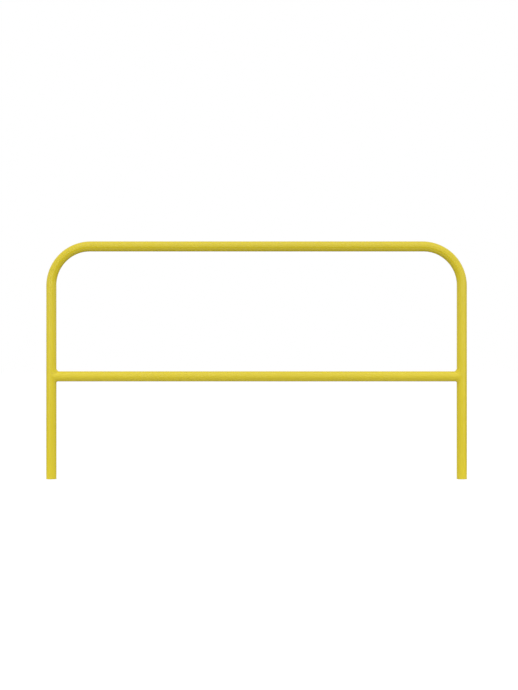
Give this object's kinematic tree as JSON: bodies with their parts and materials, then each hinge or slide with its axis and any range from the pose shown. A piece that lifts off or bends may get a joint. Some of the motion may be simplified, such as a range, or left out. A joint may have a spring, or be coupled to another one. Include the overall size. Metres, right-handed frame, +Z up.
{
  "type": "tubular hoop guard",
  "caption": "Low tubular hoop guard: a round steel tube bent into an upside-down U, with a straight mid rail welded between its open-ended legs.",
  "frame": {"origin": "midway between the two leg ends, level with their lower faces", "axes": "+X along the rails from the left leg to the right leg, +Y through the thickness away from the viewed side, +Z up the legs"},
  "size_m": [2, 0.0506, 1.13],
  "materials": {
    "painted_tube": "glossy lemon yellow coating on steel tube",
    "painted_weld": "glossy lemon yellow coating over a rippled weld bead"
  },
  "bodies": {
    "root": {"hoop_tube": "painted_tube", "mid_rail": "painted_tube", "left_rail_weld": "painted_weld", "right_rail_weld": "painted_weld"}
  },
  "joints": []
}
